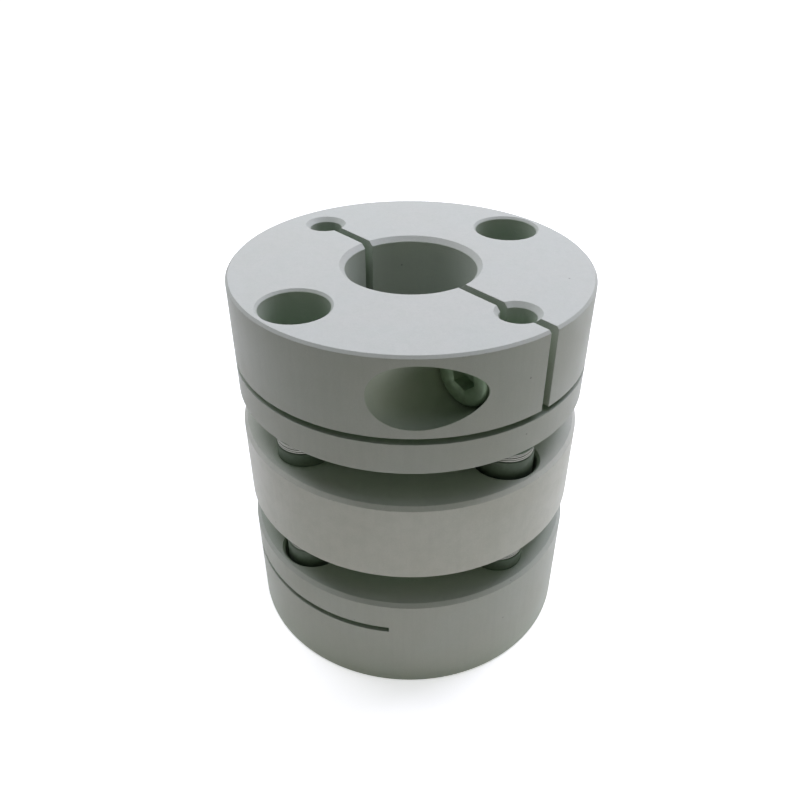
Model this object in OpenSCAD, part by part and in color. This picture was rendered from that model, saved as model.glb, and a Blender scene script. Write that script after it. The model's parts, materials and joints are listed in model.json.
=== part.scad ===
// Double-disc clamping shaft coupling, standing on its lower hub.
// +Z is the shaft axis, and the origin is the centre of the lower end face.
// The upper hub's slit opens towards +X. The lower hub is the same part, turned half round about Y.

/* [Body] */
// Outside diameter of the hubs and the centre spacer
outer_d = 44; // [43:0.5:48]
// Length of each clamp hub along the shaft
hub_len = 14.9; // [14:0.1:18]
// Length of the centre spacer along the shaft
spacer_len = 11.3; // [10.5:0.1:16]
// Chamfer round the hubs' end faces
end_chamfer = 0.3; // [0.1:0.05:0.8]
// Chamfer round the faces beside the disc packs, on the hubs and the spacer
pack_chamfer = 0.45; // [0.1:0.05:0.8]

/* [Bores] */
// Diameter of the shaft bore in each hub
bore_d = 16; // [10:0.5:18]
// Chamfer at both ends of the shaft bore
bore_chamfer = 0.6; // [0.3:0.1:1]
// Diameter of the bore through the centre spacer and the leaves
spacer_bore_d = 21; // [18:0.5:22]

/* [Clamp] */
// Width of the slit that lets the clamp ring close on the shaft
slit_w = 1.2; // [0.6:0.1:1.8]
// Width of the saw cut that frees the clamp ring from the flange
saw_cut_w = 0.8; // [0.5:0.1:1.2]
// Thickness of the flange that the saw cut leaves beside the disc pack
flange_len = 4.2; // [3.6:0.05:4.5]
// Distance past the shaft axis at which the saw cut ends
saw_cut_reach = 14.55; // [12:0.05:16]
// Distance from the shaft axis to the clamp screw's axis
clamp_screw_offset = 16.7; // [15:0.1:17.2]
// Wall between the middle of the slit and the seat of the clamp screw's head
clamp_seat_wall = 4; // [3:0.1:5]
// Length of the clamp screw under its head
clamp_screw_len = 12; // [10:1:14]
// Radial clearance round the clamp screw's head in its counterbore
clamp_head_clearance = 0.35; // [0.1:0.05:0.5]

/* [Pack screws] */
// Diameter of the circle through the pack screws
bolt_circle_d = 34; // [32:0.5:35]
// Diameter of the screws' shanks
screw_d = 4; // [3:0.1:4.4]
// Diameter of the screws' heads
screw_head_d = 7; // [6:0.1:7.6]
// Height of the screws' heads
screw_head_len = 4; // [3:0.1:4.6]
// Size of the hexagon sockets, across their flats
socket_flats = 3; // [2:0.1:3.6]
// Depth of the hexagon sockets
socket_depth = 2; // [1:0.1:2.5]
// Length under the head of the screws that enter the hubs
hub_screw_len = 6; // [5:0.5:6.5]
// Length under the head of the screws that enter the spacer
spacer_screw_len = 8; // [6:0.5:8]
// Radial clearance round the screws' shanks
shank_clearance = 0.1; // [0.05:0.05:0.3]
// Radial clearance round the pack screws' heads in the access holes
head_clearance = 0.5; // [0.3:0.05:0.8]
// Chamfer at the mouths of the access holes
access_chamfer = 0.3; // [0.1:0.05:0.8]
// Chamfer at the mouths of the screw holes
screw_hole_chamfer = 0.55; // [0.2:0.05:0.9]

/* [Disc packs] */
// Number of leaves in each pack
leaf_count = 4; // [2:1:6]
// Thickness of one leaf
leaf_t = 0.25; // [0.1:0.05:0.3]
// Diameter of a leaf's round ears
ear_d = 6.8; // [6:0.1:7.6]
// How far a leaf is waisted in between two ears, from the straight line that touches both
leaf_waist = 1; // [0.4:0.1:2]
// Length of the distance collars beside each pack
collar_len = 1.85; // [1.5:0.05:3]
// Outside diameter of the distance collars
collar_d = 7; // [6:0.1:7.6]

/* [Hidden] */
$fn = 96;
// How far a cutting shape runs past the face that it cuts
over = 1;
// Chamfer on the rim of each screw's head
head_chamfer = 0.3;
// Chamfer on the tip of each screw
tip_chamfer = 0.5;
// Chamfer on every edge of a collar
collar_chamfer = 0.1;

outer_r = outer_d / 2;
bore_r = bore_d / 2;
bolt_r = bolt_circle_d / 2;
ear_r = ear_d / 2;
shank_hole_r = screw_d / 2 + shank_clearance;
access_r = screw_head_d / 2 + head_clearance;
counterbore_r = screw_head_d / 2 + clamp_head_clearance;

pack_len = leaf_count * leaf_t;
gap_len = pack_len + 2 * collar_len;
total_len = 2 * hub_len + 2 * gap_len + spacer_len;

// The clamp ring lies between the hub's end face and the saw cut
saw_cut_floor = -flange_len - saw_cut_w;
clamp_screw_z = (saw_cut_floor - hub_len) / 2;

// A leaf's waist is an arc that touches both ears' circles from outside
waist_centre_r = (pow(bolt_r, 2) / 2 + sqrt(2) * bolt_r * leaf_waist - pow(leaf_waist, 2))
    / (2 * leaf_waist);
waist_r = waist_centre_r - (ear_r + bolt_r / sqrt(2) - leaf_waist);
waist_angle = atan2(waist_centre_r * sin(45), waist_centre_r * cos(45) - bolt_r);

hub_grey = [0.72, 0.74, 0.73];
leaf_grey = [0.80, 0.81, 0.82];
collar_grey = [0.42, 0.43, 0.44];
screw_black = [0.16, 0.16, 0.17];

ENDS = ["upper", "lower"];
// The pack is held to its hub at these sides, as [name, direction along X seen from the hub]
HUB_SIDES = [["slit", -1], ["hinge", 1]];
// The pack is held to the spacer at these sides, as [name, direction along Y]
SPACER_SIDES = [["front", -1], ["back", 1]];

function direction(angle) = [cos(angle), sin(angle)];

// Shared shapes

// Sets an end's pieces in place. They are drawn with the hub below z = 0 and its pack above.
module at_end(end) {
    if (end == "lower")
        translate([0, 0, hub_len]) children();
    else
        translate([0, 0, total_len - hub_len]) rotate([0, 180, 0]) children();
}

// Turned ring from z = 0 up, with its bore chamfered alike at both ends
module ring(inner_r, ring_r, len, inner_chamfer, bottom_chamfer, top_chamfer) {
    rotate_extrude()
        polygon([
            [inner_r, inner_chamfer],
            [inner_r + inner_chamfer, 0],
            [ring_r - bottom_chamfer, 0],
            [ring_r, bottom_chamfer],
            [ring_r, len - top_chamfer],
            [ring_r - top_chamfer, len],
            [inner_r + inner_chamfer, len],
            [inner_r, len - inner_chamfer]
        ]);
}

// Space of a drilled hole from z = 0 up through len, countersunk at both mouths
module hole(r, len, chamfer) {
    translate([0, 0, -over]) cylinder(r = r, h = len + 2 * over);
    translate([0, 0, -over]) cylinder(r1 = r + chamfer + over, r2 = r, h = chamfer + over);
    translate([0, 0, len - chamfer]) cylinder(r1 = r, r2 = r + chamfer + over, h = chamfer + over);
}

// Socket cap screw: its head stands on z = 0 and its shank points down
module cap_screw(len) {
    head_r = screw_head_d / 2;
    shank_r = screw_d / 2;
    color(screw_black)
        difference() {
            rotate_extrude()
                polygon([
                    [0, -len],
                    [shank_r - tip_chamfer, -len],
                    [shank_r, tip_chamfer - len],
                    [shank_r, 0],
                    [head_r, 0],
                    [head_r, screw_head_len - head_chamfer],
                    [head_r - head_chamfer, screw_head_len],
                    [0, screw_head_len]
                ]);
            translate([0, 0, screw_head_len - socket_depth])
                cylinder(d = socket_flats / cos(30), h = socket_depth + over, $fn = 6);
        }
}

module collar() {
    color(collar_grey)
        ring(shank_hole_r, collar_d / 2, collar_len, collar_chamfer, collar_chamfer, collar_chamfer);
}

// Outline of one leaf: four ears joined by waisted sides round a large bore
module leaf_outline() {
    difference() {
        union() {
            for (i = [0:3])
                translate(bolt_r * direction(90 * i)) circle(ear_r);
            difference() {
                polygon([
                    for (i = [0:3], s = [-1, 1])
                        bolt_r * direction(90 * i) + ear_r * direction(90 * i + s * waist_angle)
                ]);
                for (i = [0:3])
                    translate(waist_centre_r * direction(90 * i + 45)) circle(waist_r, $fn = 360);
            }
        }
        circle(spacer_bore_d / 2);
        for (i = [0:3])
            translate(bolt_r * direction(90 * i)) circle(shank_hole_r);
    }
}

// Sub-parts

// Hub: a flange bolted to the pack, and a slit ring that the clamp screw closes on the shaft
module clamp_hub(end) {
    color(hub_grey)
        at_end(end)
            difference() {
                translate([0, 0, -hub_len])
                    ring(bore_r, outer_r, hub_len, bore_chamfer, end_chamfer, pack_chamfer);
                for (side = HUB_SIDES)
                    translate([side[1] * bolt_r, 0, -hub_len])
                        hole(shank_hole_r, hub_len, screw_hole_chamfer);
                for (side = SPACER_SIDES)
                    translate([0, side[1] * bolt_r, -hub_len])
                        hole(access_r, hub_len, access_chamfer);
                saw_cut();
                slit();
                clamp_screw_hole();
            }
}

// Saw cut square to the shaft, from the slit's side to a straight end past the axis
module saw_cut() {
    translate([-outer_r - over, -outer_r - over, saw_cut_floor])
        cube([outer_r + over + saw_cut_reach, 2 * (outer_r + over), saw_cut_w]);
}

// Slit through the clamp ring, from its open side to the screw hole that ends it
module slit() {
    translate([-outer_r - over, -slit_w / 2, -hub_len - over])
        cube([outer_r + over + bolt_r, slit_w, hub_len + over + saw_cut_floor + saw_cut_w / 2]);
}

// Counterbore for the clamp screw's head, and its hole across the slit to the far side
module clamp_screw_hole() {
    translate([-clamp_screw_offset, 0, clamp_screw_z])
        rotate([90, 0, 0]) {
            translate([0, 0, clamp_seat_wall]) cylinder(r = counterbore_r, h = outer_r);
            translate([0, 0, -outer_r]) cylinder(r = shank_hole_r, h = 2 * outer_r);
        }
}

module clamp_screw(end) {
    at_end(end)
        translate([-clamp_screw_offset, -clamp_seat_wall, clamp_screw_z])
            rotate([90, 0, 0]) cap_screw(clamp_screw_len);
}

// Spacer ring: screw holes on Y, and access holes on X for the heads of the hubs' screws
module center_spacer() {
    color(hub_grey)
        translate([0, 0, hub_len + gap_len])
            difference() {
                ring(spacer_bore_d / 2, outer_r, spacer_len, bore_chamfer, pack_chamfer, pack_chamfer);
                for (side = SPACER_SIDES)
                    translate([0, side[1] * bolt_r, 0])
                        hole(shank_hole_r, spacer_len, screw_hole_chamfer);
                for (side = HUB_SIDES)
                    translate([side[1] * bolt_r, 0, 0])
                        hole(access_r, spacer_len, access_chamfer);
            }
}

// Leaf number i of a pack, counted from its hub
module leaf(end, i) {
    color(leaf_grey)
        at_end(end)
            translate([0, 0, collar_len + (i - 1) * leaf_t])
                linear_extrude(leaf_t) leaf_outline();
}

module hub_collar(end, side) {
    at_end(end)
        translate([side * bolt_r, 0, 0]) collar();
}

module spacer_collar(end, side) {
    at_end(end)
        translate([0, side * bolt_r, collar_len + pack_len]) collar();
}

// Screw through a pack and collar into the hub, its head in the spacer's access hole
module hub_screw(end, side) {
    at_end(end)
        translate([side * bolt_r, 0, collar_len + pack_len]) cap_screw(hub_screw_len);
}

// Screw through a pack and collar into the spacer, its head in the hub's access hole
module spacer_screw(end, side) {
    at_end(end)
        translate([0, side * bolt_r, collar_len]) rotate([180, 0, 0]) cap_screw(spacer_screw_len);
}

center_spacer();
for (end = ENDS) {
    clamp_hub(end);
    clamp_screw(end);
    for (i = [1:leaf_count])
        leaf(end, i);
    for (side = HUB_SIDES) {
        hub_collar(end, side[1]);
        hub_screw(end, side[1]);
    }
    for (side = SPACER_SIDES) {
        spacer_collar(end, side[1]);
        spacer_screw(end, side[1]);
    }
}
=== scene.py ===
"""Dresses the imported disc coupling: finishes, screws, leaves, studio and the photograph's camera."""

import json
import math
import random

import bmesh
import bpy
from mathutils import Matrix, Vector

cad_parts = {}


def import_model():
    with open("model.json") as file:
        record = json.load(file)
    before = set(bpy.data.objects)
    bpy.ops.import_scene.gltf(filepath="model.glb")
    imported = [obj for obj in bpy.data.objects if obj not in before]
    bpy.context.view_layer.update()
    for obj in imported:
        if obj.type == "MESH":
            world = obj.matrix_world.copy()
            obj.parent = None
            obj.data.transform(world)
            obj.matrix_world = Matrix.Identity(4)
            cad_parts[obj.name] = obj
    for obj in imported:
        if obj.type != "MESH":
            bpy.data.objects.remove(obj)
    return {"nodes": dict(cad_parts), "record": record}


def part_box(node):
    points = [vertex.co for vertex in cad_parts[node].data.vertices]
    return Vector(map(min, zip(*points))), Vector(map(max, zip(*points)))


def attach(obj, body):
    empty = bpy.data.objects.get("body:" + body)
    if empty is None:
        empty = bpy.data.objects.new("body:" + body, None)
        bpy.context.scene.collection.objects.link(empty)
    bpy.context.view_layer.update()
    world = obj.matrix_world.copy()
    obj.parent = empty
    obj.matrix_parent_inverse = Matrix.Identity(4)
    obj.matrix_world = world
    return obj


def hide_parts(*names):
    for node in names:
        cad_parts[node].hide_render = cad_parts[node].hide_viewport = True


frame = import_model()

bpy.context.view_layer.update()
random.seed(44)

MM = 0.001
TURN = 2 * math.pi

# What the frame says of each node

slots = {row["node"]: row["material_slot"] for row in frame["record"]["subparts"]}
bodies = {node: body for body, nodes in frame["record"]["behaviour"]["bodies"].items() for node in nodes}


def low(node, axis):
    """Lowest coordinate of a node along an axis, in millimetres."""
    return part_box(node)[0][axis] / MM


def high(node, axis):
    """Highest coordinate of a node along an axis, in millimetres."""
    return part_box(node)[1][axis] / MM


def middle(node, axis):
    return (low(node, axis) + high(node, axis)) / 2


# Sizes in millimetres. The frame gives those that its boxes hold, and the rest repeat the part's source.

LEAVES = sum(node.startswith("upper_leaf_") for node in frame["nodes"])
SPACER_SIDE_LEAF = f"upper_leaf_{LEAVES}"
BOLT_R = middle("upper_hub_collar_slit", 0)
EAR_R = high("upper_leaf_1", 0) - BOLT_R
HEAD_R = (high("upper_hub_screw_slit", 0) - low("upper_hub_screw_slit", 0)) / 2
HEAD_LEN = low(SPACER_SIDE_LEAF, 2) - low("upper_hub_screw_slit", 2)
MID_HEIGHT = middle("center_spacer", 2)
CLAMP_X = middle("upper_clamp_screw", 0)
CLAMP_Z = middle("upper_clamp_screw", 2)
CLAMP_SEAT_Y = low("upper_clamp_screw", 1) + HEAD_LEN
COUNTERBORE_R = HEAD_R + 0.35
BORE_R = 8.0
ACCESS_R = 4.0
SHANK_R = 2.0
SHANK_HOLE_R = 2.1
LEAF_BORE_R = 10.5
LEAF_WAIST = 1.0
SOCKET_FLATS = 3.0
SOCKET_DEPTH = 2.0

# Details of leaves, screws and finishes, in millimetres, with turns and angles in degrees

LEAF_GAP = 0.01
LEAF_EDGE = 0.075
LEAF_SPREAD = 0.08
LEAF_TURN = 0.12
THREAD_PITCH = 0.7
THREAD_DEPTH = 0.36
THREAD_LEAD = 0.5
TIP_TAPER = 0.45
CLAMP_TURN = 12
EDGE_BREAK = 0.1
WALL_MARGIN = 0.05
RING_PITCH = 0.4
PIT_SPACING = 2.2
HOLLOW_REACH = 9
SHARP_ANGLE = 35

# Steps in which the curves of leaves and screws are drawn

BORE_STEPS = 144
EAR_STEPS = 44
WAIST_STEPS = 20
HOLE_STEPS = 40
HEAD_STEPS = 96
THREAD_STEPS = 48
PITCH_STEPS = 8


# Node trees

class Graph:
    """The node tree of a material or a world, built with one short call for each node."""

    def __init__(self, owner):
        owner.use_nodes = True
        self.owner = owner
        self.nodes = owner.node_tree.nodes
        self.links = owner.node_tree.links

    def node(self, kind, values=None, **settings):
        made = self.nodes.new("ShaderNode" + kind)
        for key, value in settings.items():
            setattr(made, key, value)
        for key, value in (values or {}).items():
            self.put(made.inputs[key], value)
        return made

    def put(self, socket, value):
        if isinstance(value, bpy.types.NodeSocket):
            self.links.new(value, socket)
        else:
            socket.default_value = value

    def math(self, operation, a, b=0.0, c=0.0):
        return self.node("Math", {0: a, 1: b, 2: c}, operation=operation).outputs[0]

    def ramp(self, value, start, stop, out_start=0.0, out_stop=1.0):
        """value from start to stop, mapped smoothly from out_start to out_stop."""
        values = {0: value, 1: start, 2: stop, 3: out_start, 4: out_stop}
        return self.node("MapRange", values, interpolation_type="SMOOTHSTEP").outputs[0]

    def mix(self, share, a, b):
        return self.node("Mix", {0: share, 6: a, 7: b}, data_type="RGBA").outputs[2]

    def length(self, a, b):
        squares = self.math("ADD", self.math("MULTIPLY", a, a), self.math("MULTIPLY", b, b))
        return self.math("SQRT", squares)

    def noise(self, place, size, detail=3.0, roughness=0.55):
        """Noise whose lumps are about size millimetres across."""
        values = {"Vector": place, "Scale": 1 / (size * MM), "Detail": detail, "Roughness": roughness}
        return self.node("TexNoise", values).outputs[0]

    def shown(self):
        """1 where the camera sees the surface, directly, in a reflection or through glass."""
        path = self.node("LightPath")
        seen = self.math("MAXIMUM", path.outputs["Is Camera Ray"], path.outputs["Is Glossy Ray"])
        return self.math("MAXIMUM", seen, path.outputs["Is Transmission Ray"])


class Finish(Graph):
    """A material with one principled surface."""

    def __init__(self, name):
        super().__init__(bpy.data.materials.new(name))
        self.surface = self.nodes["Principled BSDF"]
        self.place = self.node("TexCoord").outputs["Object"]

    def set(self, name, value):
        self.put(self.surface.inputs[name], value)

    def openness(self, reach):
        """1 on an open face, less the more of the sky within reach millimetres is covered."""
        return self.node("AmbientOcclusion", {"Distance": reach * MM}, samples=2).outputs["AO"]

    def bump(self, height, depth, strength, normal=None):
        values = {"Strength": strength, "Distance": depth * MM, "Height": height}
        if normal:
            values["Normal"] = normal
        self.set("Normal", self.node("Bump", values).outputs[0])


def rgb(red, green, blue):
    return (red, green, blue, 1.0)


def darker(colour, share):
    return rgb(*[share * c for c in colour])


# Finishes

def drilled(f):
    """Two masks: walls of the bore and the access holes, and walls of the clamp screws' counterbores."""
    x, y, z = f.node("SeparateXYZ", {0: f.place}).outputs
    beside = f.math("SUBTRACT", f.math("ABSOLUTE", y), BOLT_R * MM)
    in_access = f.math("LESS_THAN", f.length(x, beside), (ACCESS_R + WALL_MARGIN) * MM)
    in_bore = f.math("LESS_THAN", f.length(x, y), (BORE_R + WALL_MARGIN) * MM)
    above = f.math("SUBTRACT", z, MID_HEIGHT * MM)
    sideways = f.math("SUBTRACT", f.math("MULTIPLY", x, f.math("SIGN", above)), CLAMP_X * MM)
    upright = f.math("SUBTRACT", f.math("ABSOLUTE", above), (CLAMP_Z - MID_HEIGHT) * MM)
    around_screw = f.math("LESS_THAN", f.length(sideways, upright), (COUNTERBORE_R + WALL_MARGIN) * MM)
    before_seat = f.math("LESS_THAN", y, CLAMP_SEAT_Y * MM)
    return f.math("MAXIMUM", in_bore, in_access), f.math("MULTIPLY", around_screw, before_seat)


def turned_rings(f):
    """Fine rings that a cutting tool leaves round a wall, a little wavy and deeper in some places."""
    phase = f.math("MULTIPLY", f.node("SeparateXYZ", {0: f.place}).outputs[2], TURN / (RING_PITCH * MM))
    ring = f.math("SINE", f.math("MULTIPLY_ADD", f.noise(f.place, 4.0), 2.0, phase))
    return f.math("MULTIPLY", ring, f.ramp(f.noise(f.place, 2.0), 0.45, 0.7, 0.1, 0.7))


def pitted(f, place):
    """1 in the few fine pits of a blasted surface."""
    cells = f.node("TexVoronoi", {"Vector": place, "Scale": 1 / (PIT_SPACING * MM)})
    chance = f.node("SeparateColor", {0: cells.outputs["Color"]}).outputs[0]
    spot = f.ramp(cells.outputs["Distance"], 0.025, 0.07, 1.0, 0.0)
    return f.math("MULTIPLY", f.math("GREATER_THAN", chance, 0.88), spot)


def edges(f, rounded_normal):
    """1 on edges, where the rounded normal turns away from the face's own."""
    normals = {0: rounded_normal, 1: f.node("NewGeometry").outputs["Normal"]}
    flatness = f.node("VectorMath", normals, operation="DOT_PRODUCT").outputs["Value"]
    return f.ramp(flatness, 0.75, 0.985, 1.0, 0.0)


def shaded_hollows(f, colour, painted_shade_colour, bored, counterbored):
    """The colour on open faces, turning to painted shade where they are covered, darker in the
    counterbores, and with a painted greenish shade on drilled walls.
    """
    # painted shade: covered faces take the shade colour, and the counterbores a darker one
    painted_deep_shade = f.mix(counterbored, rgb(*painted_shade_colour), darker(painted_shade_colour, 0.45))
    base = f.mix(f.ramp(f.openness(HOLLOW_REACH), 0.2, 0.6), painted_deep_shade, rgb(*colour))
    # painted greenish shade on the walls of the bore, the access holes and the counterbores
    painted_wall_shade = f.math("MULTIPLY_ADD", bored, 0.25, f.math("MULTIPLY", counterbored, 0.4))
    return f.mix(painted_wall_shade, base, rgb(0.30, 0.42, 0.27))


def anodised(name, colour, painted_shade_colour, seed):
    """Blasted and anodised aluminium: matte grain, faint clouds, pits, worn edges with painted highlights
    and painted shade in hollows.

    The colour is that of open faces, the next one the painted shade of covered ones, and seed moves the
    noise along.
    """
    f = Finish(name)
    shifted = f.node("Mapping", {0: f.place, 1: (seed, 0, 0)}).outputs[0]
    grain = f.noise(shifted, 0.16, 3.0, 0.6)
    blotch = f.noise(shifted, 1.6, 4.0, 0.6)
    cloud = f.noise(shifted, 9.0, 3.0)
    streak = f.noise(f.node("Mapping", {0: shifted, 3: (1.0, 1.0, 0.06)}).outputs[0], 0.7)
    pits = pitted(f, shifted)

    rounded_normal = f.node("Bevel", {"Radius": EDGE_BREAK * MM}, samples=2).outputs[0]
    edge = edges(f, rounded_normal)
    # edges made lighter: partly wear and partly a painted highlight
    wear_and_edge_highlight = f.math("MULTIPLY", edge, f.ramp(blotch, 0.35, 0.6))
    nicks = f.math("MULTIPLY", edge, f.ramp(f.noise(shifted, 0.55, 1.0), 0.60, 0.66))

    bored, counterbored = drilled(f)
    rings = f.math("MULTIPLY", bored, turned_rings(f))
    base = shaded_hollows(f, colour, painted_shade_colour, bored, counterbored)
    for share, tint in (
        (f.ramp(rings, 0.1, 0.7, 0.0, 0.2), rgb(0.50, 0.55, 0.47)),
        (f.ramp(cloud, 0.35, 0.65, 0.0, 0.12), rgb(0.62, 0.58, 0.50)),
        (f.ramp(blotch, 0.35, 0.7, 0.0, 0.16), rgb(0.46, 0.52, 0.44)),
        (f.ramp(streak, 0.4, 0.7, 0.0, 0.12), darker(colour, 0.8)),
        (f.ramp(grain, 0.3, 0.7, 0.0, 0.16), darker(colour, 0.7)),
        (f.math("MULTIPLY", wear_and_edge_highlight, 0.2), rgb(0.70, 0.70, 0.66)),
        (f.math("MULTIPLY", f.math("MAXIMUM", pits, nicks), 0.6), rgb(0.10, 0.10, 0.09)),
    ):
        base = f.mix(share, base, tint)
    f.set("Base Color", base)
    f.set("Roughness", f.ramp(cloud, 0.3, 0.7, 0.46, 0.56))
    f.set("Specular IOR Level", 0.3)
    relief = f.math("SUBTRACT", f.math("MULTIPLY", grain, 0.6), pits)
    f.bump(f.math("ADD", rings, relief), 0.02, 0.35, rounded_normal)
    return f.owner


def rolled_leaf(name):
    """Rolled spring sheet with fine scratches along the rolling direction, and painted shade where two
    leaves meet.
    """
    f = Finish(name)
    stretched = f.node("Mapping", {0: f.place, 3: (0.15, 3.0, 1.0)}).outputs[0]
    scratch = f.noise(stretched, 0.3)
    steel = f.mix(scratch, rgb(0.20, 0.205, 0.185), rgb(0.34, 0.345, 0.31))
    # painted shade: nearly black where a leaf's neighbours cover it
    f.set("Base Color", f.mix(f.ramp(f.openness(0.25), 0.35, 0.9), rgb(0.05, 0.055, 0.045), steel))
    f.set("Roughness", f.ramp(scratch, 0.3, 0.7, 0.28, 0.42))
    f.set("Metallic", 1.0)
    f.bump(scratch, 0.004, 0.4)
    return f.owner


def dull_steel(name, colour, roughness, metallic, painted_light_at_ends=1.0):
    """Turned or formed steel with a fine grain and stains.

    Near the part's two ends, where the clamp screws are, the colour is multiplied by the last argument, a
    painted light.
    """
    f = Finish(name)
    height = f.math("SUBTRACT", f.node("SeparateXYZ", {0: f.place}).outputs[2], MID_HEIGHT * MM)
    at_end = f.math("GREATER_THAN", f.math("ABSOLUTE", height), (CLAMP_Z - MID_HEIGHT - 2 * HEAD_R) * MM)
    grain = f.noise(f.place, 0.22)
    stain = f.noise(f.place, 1.3, 4.0)
    base = f.mix(grain, rgb(*colour), darker(colour, 1.5))
    # painted light: the colour near the ends is multiplied, which lightens the clamp screws
    base = f.mix(at_end, base, darker(colour, painted_light_at_ends))
    f.set("Base Color", f.mix(f.ramp(stain, 0.45, 0.7, 0.0, 0.4), base, darker(colour, 2.2)))
    f.set("Roughness", f.ramp(grain, 0.3, 0.7, roughness - 0.05, roughness + 0.08))
    f.set("Metallic", metallic)
    f.bump(grain, 0.01, 0.4)
    return f.owner


def paint(node):
    """Gives a CAD node the finish of its slot."""
    made = frame["nodes"][node]
    made.data.materials.clear()
    made.data.materials.append(finishes[slots[node]])


# Meshes

def add_piece(name, bm, node, placing):
    """Turns a mesh in millimetres into a piece that stands for a CAD node."""
    bmesh.ops.recalc_face_normals(bm, faces=bm.faces)
    bmesh.ops.transform(bm, matrix=Matrix.Scale(MM, 4) @ placing, verts=bm.verts)
    mesh = bpy.data.meshes.new(name)
    bm.to_mesh(mesh)
    bm.free()
    mesh.shade_smooth()
    mesh.set_sharp_from_angle(angle=math.radians(SHARP_ANGLE))
    mesh.materials.append(finishes[slots[node]])
    piece = bpy.data.objects.new(name, mesh)
    bpy.context.scene.collection.objects.link(piece)
    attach(piece, bodies[node])
    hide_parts(node)


def skin(bm, rings):
    """Quads between rings of equally many points. Returns the first and the last ring's vertices."""
    made = [[bm.verts.new(point) for point in ring] for ring in rings]
    for lower, upper in zip(made, made[1:]):
        for i in range(len(lower)):
            j = (i + 1) % len(lower)
            bm.faces.new((lower[i], lower[j], upper[j], upper[i]))
    return made[0], made[-1]


def fan(bm, ring, centre):
    """Closes a ring with triangles to a point."""
    tip = bm.verts.new(centre)
    for i in range(len(ring)):
        bm.faces.new((ring[i], ring[(i + 1) % len(ring)], tip))


def inset(loop, distance):
    """A closed loop of (x, y) points moved to its left, which is where the material is."""
    moved = []
    for i in range(len(loop)):
        along = (Vector(loop[(i + 1) % len(loop)]) - Vector(loop[i - 1])).normalized()
        moved.append((loop[i][0] - along[1] * distance, loop[i][1] + along[0] * distance))
    return moved


def arc(centre, radius, start, stop, steps):
    """Points along an arc from start to stop degrees, without its last point."""
    angles = [math.radians(start + (stop - start) * i / steps) for i in range(steps)]
    return [(centre[0] + radius * math.cos(a), centre[1] + radius * math.sin(a)) for a in angles]


def polar(radius, degrees):
    return (radius * math.cos(math.radians(degrees)), radius * math.sin(math.radians(degrees)))


def leaf_loops(ear):
    """A leaf's outline, counterclockwise, and its holes, clockwise. Waist arcs touch the ears' circles."""
    span = (BOLT_R ** 2 / 2 + math.sqrt(2) * BOLT_R * LEAF_WAIST - LEAF_WAIST ** 2) / (2 * LEAF_WAIST)
    waist = span - (ear + BOLT_R / math.sqrt(2) - LEAF_WAIST)
    far = polar(span, 45)
    reach = math.degrees(math.atan2(far[1], far[0] - BOLT_R))
    outline = []
    holes = [arc((0, 0), LEAF_BORE_R, 360, 0, BORE_STEPS)]
    for side in (0, 90, 180, 270):
        outline += arc(polar(BOLT_R, side), ear, side - reach, side + reach, EAR_STEPS)
        start, stop = side + reach + 180, side - reach + 270
        outline += arc(polar(span, side + 45), waist, start, stop, WAIST_STEPS)
        holes.append(arc(polar(BOLT_R, side), SHANK_HOLE_R, 360, 0, HOLE_STEPS))
    return outline, holes


def leaf(node):
    """One leaf: a thin plate with rounded edges, a little unlike its neighbours as real blanks are."""
    bm = bmesh.new()
    bottom, top = low(node, 2) + LEAF_GAP, high(node, 2) - LEAF_GAP
    outline, holes = leaf_loops(EAR_R - random.uniform(0, LEAF_SPREAD))
    quarter = [math.radians(a) for a in (0, 30, 60, 90)]
    steps = [(LEAF_EDGE * (1 - math.sin(a)), LEAF_EDGE * (1 - math.cos(a))) for a in quarter]
    rows = [(side, bottom + rise) for side, rise in steps]
    rows += [(side, top - rise) for side, rise in reversed(steps)]
    rims = ([], [])
    for loop in [outline] + holes:
        rings = [[(x, y, z) for x, y in inset(loop, side)] for side, z in rows]
        for rim, ring in zip(rims, skin(bm, rings)):
            rim += [bm.edges.get((ring[i - 1], ring[i])) for i in range(len(ring))]
    for rim in rims:
        bmesh.ops.triangle_fill(bm, use_beauty=True, edges=rim)
    turn = math.radians(random.uniform(-LEAF_TURN, LEAF_TURN))
    add_piece(node + "_plate", bm, node, Matrix.Rotation(turn, 4, "Z"))


def circle_of(count, z, radius):
    """Ring of count points at height z, whose radius is a number or a function of the angle."""
    angles = [TURN * i / count for i in range(count)]
    radii = [radius(a) if callable(radius) else radius for a in angles]
    return [(r * math.cos(a), r * math.sin(a), z) for r, a in zip(radii, angles)]


def hexagon(angle):
    """Distance from the axis to the side of the hexagon socket."""
    return SOCKET_FLATS / 2 / math.cos((angle + math.pi / 6) % (math.pi / 3) - math.pi / 6)


def head_rings():
    """Rings over a screw's head, from its seat to the cone that a drill leaves below its socket."""
    top = HEAD_LEN
    seat = [(0, SHANK_R + 0.05), (0, HEAD_R - 0.25), (0.12, HEAD_R - 0.06), (0.25, HEAD_R)]
    shoulder = [(top - 0.55, HEAD_R), (top - 0.4, HEAD_R - 0.03), (top - 0.2, HEAD_R - 0.1),
                (top - 0.06, HEAD_R - 0.24), (top, HEAD_R - 0.42)]
    mouth = [(top, SOCKET_FLATS * 0.72), (top - 0.16, SOCKET_FLATS * 0.6)]
    socket = [(top - 0.3, hexagon), (top - 1.1, hexagon), (top - SOCKET_DEPTH, hexagon)]
    cone = [(top - SOCKET_DEPTH - 0.25, 0.5)]
    return [circle_of(HEAD_STEPS, z, radius) for z, radius in seat + shoulder + mouth + socket + cone]


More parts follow.
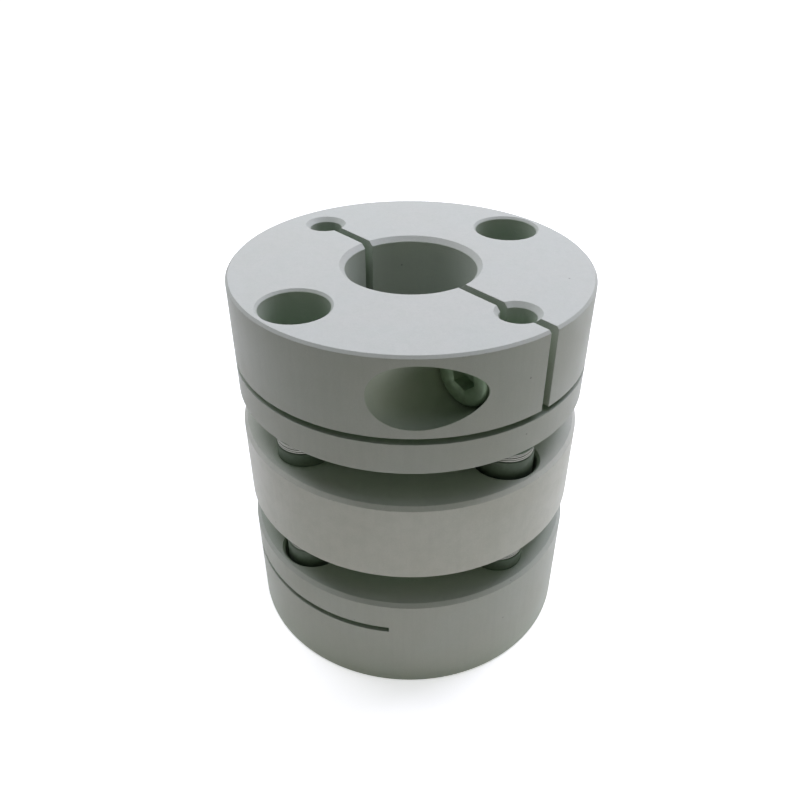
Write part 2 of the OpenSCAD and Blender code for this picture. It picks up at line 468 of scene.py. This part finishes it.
def thread_rings(length):
    """Rings down a threaded shank, whose radius follows the helix and narrows at the tip."""
    def row(z):
        taper = TIP_TAPER * (1 - min(1.0, (length + z) / THREAD_LEAD))

        def radius(angle):
            phase = (z / THREAD_PITCH + angle / TURN) % 1.0
            return SHANK_R - THREAD_DEPTH * min(1.0, 1.25 * abs(2 * phase - 1)) - taper
        return circle_of(THREAD_STEPS, z, radius)
    rows = int(length / THREAD_PITCH * PITCH_STEPS)
    return [row(-length * i / rows) for i in range(rows + 1)]


def screw(node, placing, length):
    """Socket cap screw whose head stands on z = 0, put where placing says."""
    bm = bmesh.new()
    first, last = skin(bm, head_rings())
    fan(bm, last, (0, 0, HEAD_LEN - SOCKET_DEPTH - 0.4))
    fan(bm, first, (0, 0, 0.2))
    first, last = skin(bm, thread_rings(length))
    fan(bm, first, (0, 0, 0))
    fan(bm, last, (0, 0, -length))
    add_piece(node + "_threaded", bm, node, placing)


def pack_screw(node, end):
    """Screw through a pack. A hub's screw has its head on the spacer's side, and the other way round."""
    from_spacer = "hub" in node
    seat_leaf = f"{end}_leaf_{LEAVES if from_spacer else 1}"
    head_down = (end == "upper") == from_spacer
    seat = low(seat_leaf, 2) if head_down else high(seat_leaf, 2)
    facing = Matrix.Rotation(math.pi if head_down else 0, 4, "X")
    spin = Matrix.Rotation(random.uniform(0, TURN), 4, "Z")
    placing = Matrix.Translation((middle(node, 0), middle(node, 1), seat)) @ facing @ spin
    screw(node, placing, high(node, 2) - low(node, 2) - HEAD_LEN)


def clamp_screw(node):
    """Screw across a hub's slit, with its head on the counterbore's seat and towards -Y."""
    seat = (middle(node, 0), low(node, 1) + HEAD_LEN, middle(node, 2))
    facing = Matrix.Rotation(math.pi / 2, 4, "X") @ Matrix.Rotation(math.radians(CLAMP_TURN), 4, "Z")
    screw(node, Matrix.Translation(seat) @ facing, high(node, 1) - low(node, 1) - HEAD_LEN)


# Studio, in millimetres and degrees. The camera was solved from the photograph. Lights are placed as it
# sees them: to its right, away from it and up.

CAMERA_AT = Vector((61.688, -56.321, 87.370))
CAMERA_AZIMUTH = 48.5
CAMERA_PITCH = 34.232
CAMERA_ROLL = 0.022
LENS = 33.625
SENSOR = 36.0
HORIZON = 1500
AIM_HEIGHT = 25
BOUNCE_ENDS = (65 * MM, 170 * MM)
SHADOW_ENDS = (100 * MM, 400 * MM)


def seen_from_camera(right, away, up):
    """Place in millimetres of a point that is right, away and up from the middle of the floor."""
    return Matrix.Rotation(math.radians(CAMERA_AZIMUTH), 4, "Z") @ Vector((right, away, up))


def camera():
    """The photograph's camera."""
    data = bpy.data.cameras.new("camera")
    data.lens = LENS
    data.sensor_width = SENSOR
    data.clip_start = MM
    data.clip_end = 2 * HORIZON * MM
    made = bpy.data.objects.new("camera", data)
    bpy.context.scene.collection.objects.link(made)
    turn = Matrix.Rotation(math.radians(CAMERA_AZIMUTH), 4, "Z")
    tip = Matrix.Rotation(math.radians(90 - CAMERA_PITCH), 4, "X")
    roll = Matrix.Rotation(math.radians(CAMERA_ROLL), 4, "Z")
    made.matrix_world = Matrix.Translation(CAMERA_AT * MM) @ turn @ tip @ roll
    bpy.context.scene.camera = made


def softbox(name, place, width, height, watts, colour):
    """Soft rectangular light that faces the object."""
    data = bpy.data.lights.new(name, "AREA")
    data.shape = "RECTANGLE"
    data.size, data.size_y = width * MM, height * MM
    data.energy = watts
    data.color = colour
    made = bpy.data.objects.new(name, data)
    bpy.context.scene.collection.objects.link(made)
    made.location = seen_from_camera(*place) * MM
    made.rotation_mode = "QUATERNION"
    made.rotation_quaternion = (Vector((0, 0, AIM_HEIGHT * MM)) - made.location).to_track_quat("-Z", "Y")
    made.visible_camera = False


def floor(near, far, glow):
    """Pale floor, white where it is shown, apart from the object's shadow.

    It glows by the share glow round the object and fully beyond SHADOW_ENDS. It lights the object as
    paper would that turns from the colour near to the colour far between BOUNCE_ENDS.
    """
    half = HORIZON * MM
    mesh = bpy.data.meshes.new("floor")
    corners = [(-half, -half, 0), (half, -half, 0), (half, half, 0), (-half, half, 0)]
    mesh.from_pydata(corners, [], [(0, 1, 2, 3)])
    made = bpy.data.objects.new("floor", mesh)
    bpy.context.scene.collection.objects.link(made)
    g = Graph(bpy.data.materials.new("floor"))
    place = g.node("TexCoord").outputs["Object"]
    distance = g.node("VectorMath", {0: place}, operation="LENGTH").outputs["Value"]
    bounce = g.mix(g.ramp(distance, *BOUNCE_ENDS), rgb(*near), rgb(*far))
    paper = g.node("BsdfDiffuse", {"Color": bounce}).outputs[0]
    pale = g.node("BsdfDiffuse", {"Color": rgb(0.9, 0.9, 0.9)}).outputs[0]
    strength = g.ramp(distance, *SHADOW_ENDS, glow, 1.0)
    shine = g.node("Emission", {"Color": rgb(1, 1, 1), "Strength": strength}).outputs[0]
    bright = g.node("AddShader", {0: pale, 1: shine}).outputs[0]
    both = g.node("MixShader", {0: g.shown(), 1: paper, 2: bright}).outputs[0]
    g.put(g.nodes["Material Output"].inputs["Surface"], both)
    mesh.materials.append(g.owner)


def world(fill, colour):
    """White where it is shown, and a dim even fill for everything else."""
    g = Graph(bpy.data.worlds.new("studio"))
    dim = g.node("Background", {"Color": rgb(*colour), "Strength": fill}).outputs[0]
    white = g.node("Background", {"Color": rgb(1, 1, 1), "Strength": 1.0}).outputs[0]
    both = g.node("MixShader", {0: g.shown(), 1: dim, 2: white}).outputs[0]
    g.put(g.nodes["World Output"].inputs["Surface"], both)
    bpy.context.scene.world = g.owner


def studio():
    """Soft lights from above and weak ones from the right and the front, fitted to the photograph."""
    bpy.context.scene.view_settings.view_transform = "Standard"
    world(0.07, (0.85, 1.0, 0.85))
    floor((0.93, 0.90, 0.83), (0.05, 0.05, 0.05), 0.6)
    softbox("top", (0, 25, 420), 420, 420, 0.36, (0.80, 0.80, 1.0))
    softbox("top_left", (-210, 150, 370), 200, 300, 0.86, (0.93, 0.92, 1.0))
    softbox("top_right", (210, 150, 370), 200, 300, 1.27, (0.88, 0.86, 1.0))
    softbox("right", (400, 0, 34), 250, 60, 0.15, (0.94, 1.0, 0.85))
    softbox("front", (0, -420, 74), 400, 140, 0.092, (0.94, 0.92, 0.64))


# The object

camera()
studio()
finishes = {
    "hub_aluminium": anodised("hub_aluminium", (0.54, 0.565, 0.52), (0.25, 0.37, 0.23), 0.0),
    "spacer_aluminium": anodised("spacer_aluminium", (0.735, 0.745, 0.685), (0.26, 0.37, 0.24), 0.3),
    "leaf_steel": rolled_leaf("leaf_steel"),
    "collar_steel": dull_steel("collar_steel", (0.037, 0.056, 0.033), 0.55, 0.3),
    # the last number lightens the clamp screws as painted light
    "screw_steel": dull_steel("screw_steel", (0.058, 0.080, 0.054), 0.5, 0.2, 4.5),
}
for node in frame["nodes"]:
    paint(node)
for end in ("upper", "lower"):
    for i in range(1, LEAVES + 1):
        leaf(f"{end}_leaf_{i}")
    for side in ("hub_screw_slit", "hub_screw_hinge", "spacer_screw_front", "spacer_screw_back"):
        pack_screw(f"{end}_{side}", end)
    clamp_screw(f"{end}_clamp_screw")
